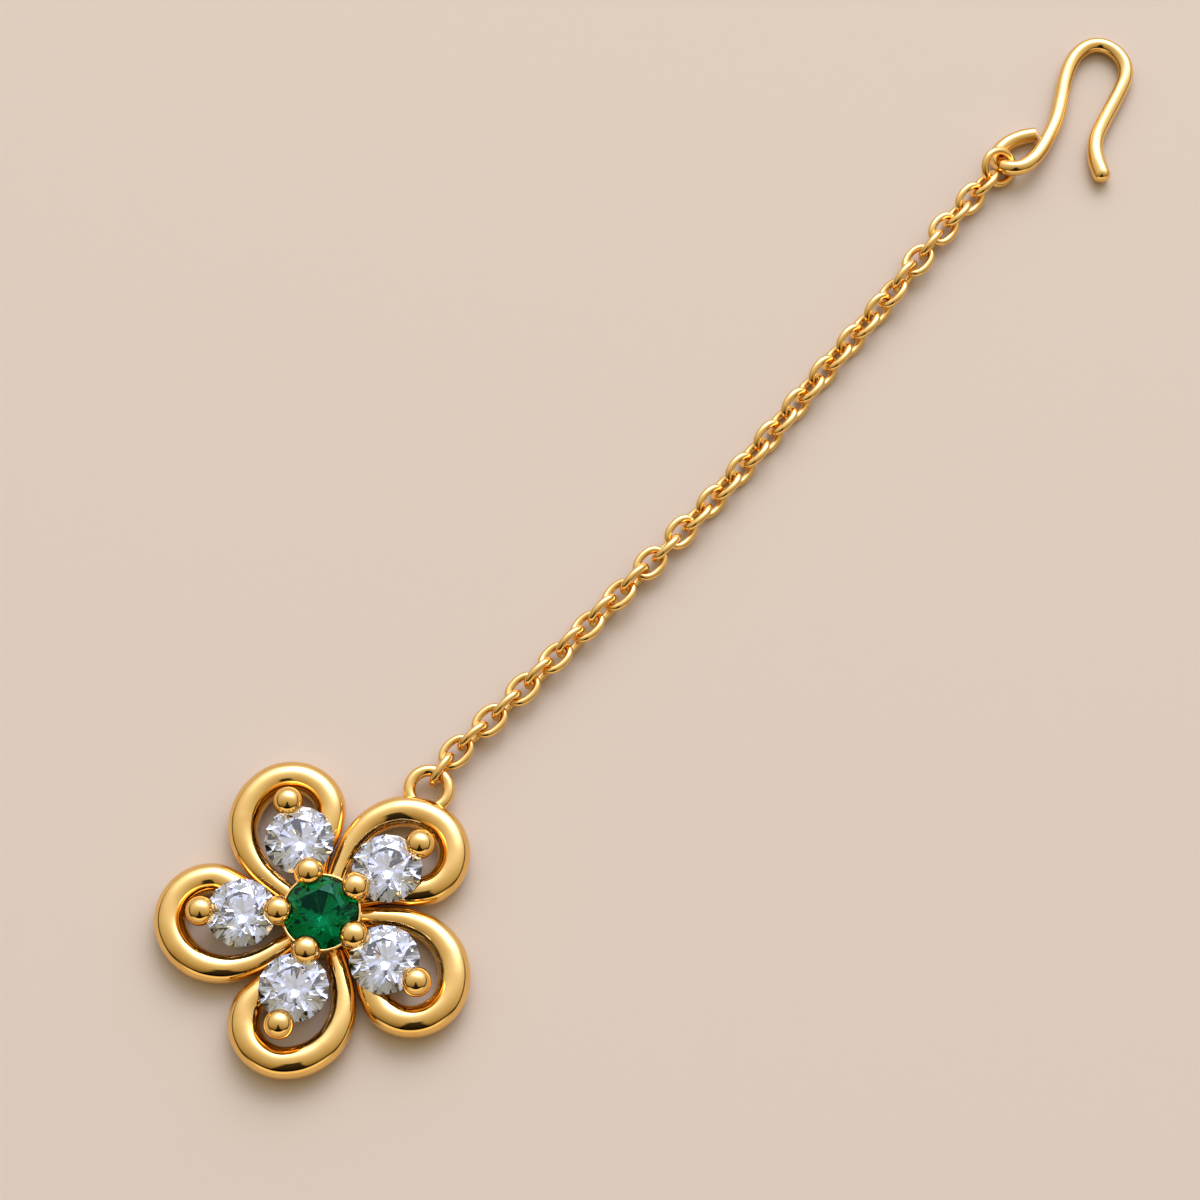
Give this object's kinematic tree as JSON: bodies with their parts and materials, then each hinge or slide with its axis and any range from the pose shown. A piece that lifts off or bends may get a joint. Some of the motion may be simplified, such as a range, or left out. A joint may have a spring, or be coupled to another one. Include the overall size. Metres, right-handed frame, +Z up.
{
  "type": "maang tikka",
  "caption": "Forehead jewel: a pinwheel flower of open wire petals set with round stones, hung from an oval-link chain that ends in a hair hook.",
  "frame": {"origin": "middle of the bounding box in plan, on the surface that the jewel lies on", "axes": "+Y runs along the chain from the flower to the hair hook, +Z is up and out of the flower's face, +X completes a right-handed frame"},
  "size_m": [0.0228, 0.1038, 0.0042],
  "materials": {
    "gold": null,
    "green_stone": "polished brilliant cut, deep green",
    "white_stone": "polished brilliant cut, colourless"
  },
  "bodies": {
    "root": {"flower_frame": "gold", "centre_stone": "green_stone", "petal_stone_1": "white_stone", "petal_stone_2": "white_stone", "petal_stone_3": "white_stone", "petal_stone_4": "white_stone", "petal_stone_5": "white_stone", "chain_link_01": "gold", "chain_link_02": "gold", "chain_link_03": "gold", "chain_link_04": "gold", "chain_link_05": "gold", "chain_link_06": "gold", "chain_link_07": "gold", "chain_link_08": "gold", "chain_link_09": "gold", "chain_link_10": "gold", "chain_link_11": "gold", "chain_link_12": "gold", "chain_link_13": "gold", "chain_link_14": "gold", "chain_link_15": "gold", "chain_link_16": "gold", "chain_link_17": "gold", "chain_link_18": "gold", "chain_link_19": "gold", "chain_link_20": "gold", "chain_link_21": "gold", "chain_link_22": "gold", "chain_link_23": "gold", "chain_link_24": "gold", "chain_link_25": "gold", "chain_link_26": "gold", "chain_link_27": "gold", "chain_link_28": "gold", "chain_link_29": "gold", "chain_link_30": "gold", "chain_link_31": "gold", "chain_link_32": "gold", "chain_link_33": "gold", "chain_link_34": "gold", "chain_link_35": "gold", "chain_link_36": "gold", "chain_link_37": "gold", "chain_link_38": "gold", "jump_ring": "gold", "hair_hook": "gold"}
  },
  "joints": []
}
